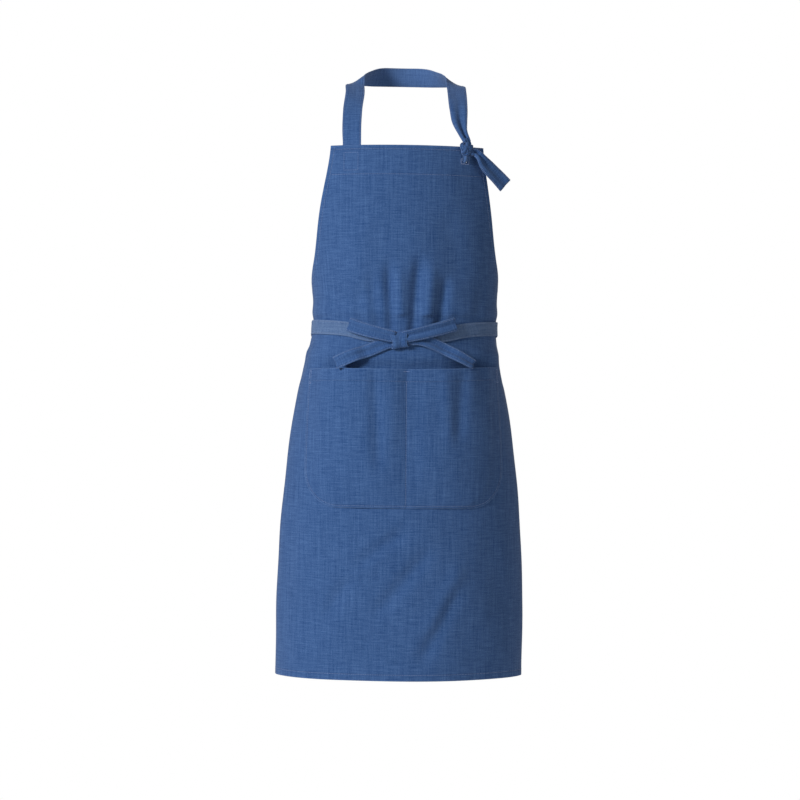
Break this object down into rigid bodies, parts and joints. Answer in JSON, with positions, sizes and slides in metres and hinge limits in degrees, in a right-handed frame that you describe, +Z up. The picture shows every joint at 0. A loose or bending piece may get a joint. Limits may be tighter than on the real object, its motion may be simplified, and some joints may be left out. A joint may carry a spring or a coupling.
{
  "type": "artist bib apron",
  "caption": "Long denim-blue chambray bib apron as worn, with a neck strap knotted in a buttonhole, waist ties in a bow and a wide front pocket.",
  "frame": {"origin": "inner face of the neck strap's flat run at the nape, where the apron is carried", "axes": "+Z up, -Y the front of the apron, +X to the right of someone looking at its front"},
  "size_m": [0.443, 0.2452, 1.097],
  "materials": {
    "chambray": "blue chambray cotton, slubby, soft",
    "facing": "blue chambray cotton, wrong side",
    "thread": "pale blue polyester sewing thread"
  },
  "bodies": {
    "neck_strap": {"neck_strap": "chambray"},
    "bib": {"bib_panel": "chambray", "bib_facing": "facing", "top_edge_thread": "thread", "facing_thread": "thread", "armhole_thread_left": "thread", "armhole_thread_right": "thread", "strap_front_left": "chambray", "strap_front_right": "chambray", "strap_box_thread": "thread", "neck_knot": "chambray", "strap_hook": "chambray", "buttonhole_thread": "thread"},
    "skirt": {"waist_tie_left": "chambray", "waist_tie_right": "chambray", "tie_tack_left": "thread", "tie_tack_right": "thread", "bow_knot": "chambray", "skirt_panel": "chambray", "hem_thread": "thread", "side_thread_left": "thread", "side_thread_right": "thread", "pocket_panel": "chambray", "pocket_hem_thread": "thread", "pocket_seam_thread": "thread", "pocket_divider_thread": "thread", "pocket_tack_middle": "thread", "pocket_tack_left": "thread", "pocket_tack_right": "thread"},
    "bow_loop_left": {"bow_loop_left": "chambray"},
    "bow_loop_right": {"bow_loop_right": "chambray"},
    "bow_tail_left": {"bow_tail_left": "chambray"},
    "bow_tail_right": {"bow_tail_right": "chambray"},
    "strap_tail": {"strap_tail": "chambray"}
  },
  "joints": [
    {"name": "bib_swing", "type": "hinge", "parent": "neck_strap", "child": "bib", "pos_m": [0, -0.09125, -0.032], "axis": [-1, 0, 0], "range_deg": [0, 30]},
    {"name": "skirt_swing", "type": "hinge", "parent": "bib", "child": "skirt", "pos_m": [0, -0.1698, -0.43], "axis": [-1, 0, 0], "range_deg": [0, 12], "stiffness_Nm_per_rad": 0.6, "springref_deg": -20.05},
    {"name": "left_loop_tilt", "type": "hinge", "parent": "skirt", "child": "bow_loop_left", "pos_m": [-0.013, -0.179, -0.483], "axis": [0, 1, 0], "range_deg": [-6, 6], "stiffness_Nm_per_rad": 0.05},
    {"name": "right_loop_tilt", "type": "hinge", "parent": "skirt", "child": "bow_loop_right", "pos_m": [-0.013, -0.179, -0.483], "axis": [0, 1, 0], "range_deg": [-6, 6], "stiffness_Nm_per_rad": 0.05},
    {"name": "left_tail_swing", "type": "hinge", "parent": "skirt", "child": "bow_tail_left", "pos_m": [-0.013, -0.179, -0.483], "axis": [0, 1, 0], "range_deg": [-5, 5], "stiffness_Nm_per_rad": 0.05},
    {"name": "right_tail_swing", "type": "hinge", "parent": "skirt", "child": "bow_tail_right", "pos_m": [-0.013, -0.179, -0.483], "axis": [0, 1, 0], "range_deg": [-5, 5], "stiffness_Nm_per_rad": 0.05},
    {"name": "strap_tail_swing", "type": "hinge", "parent": "bib", "child": "strap_tail", "pos_m": [0.1135, -0.158, -0.15], "axis": [0, 1, 0], "range_deg": [-6, 6], "stiffness_Nm_per_rad": 0.05}
  ]
}
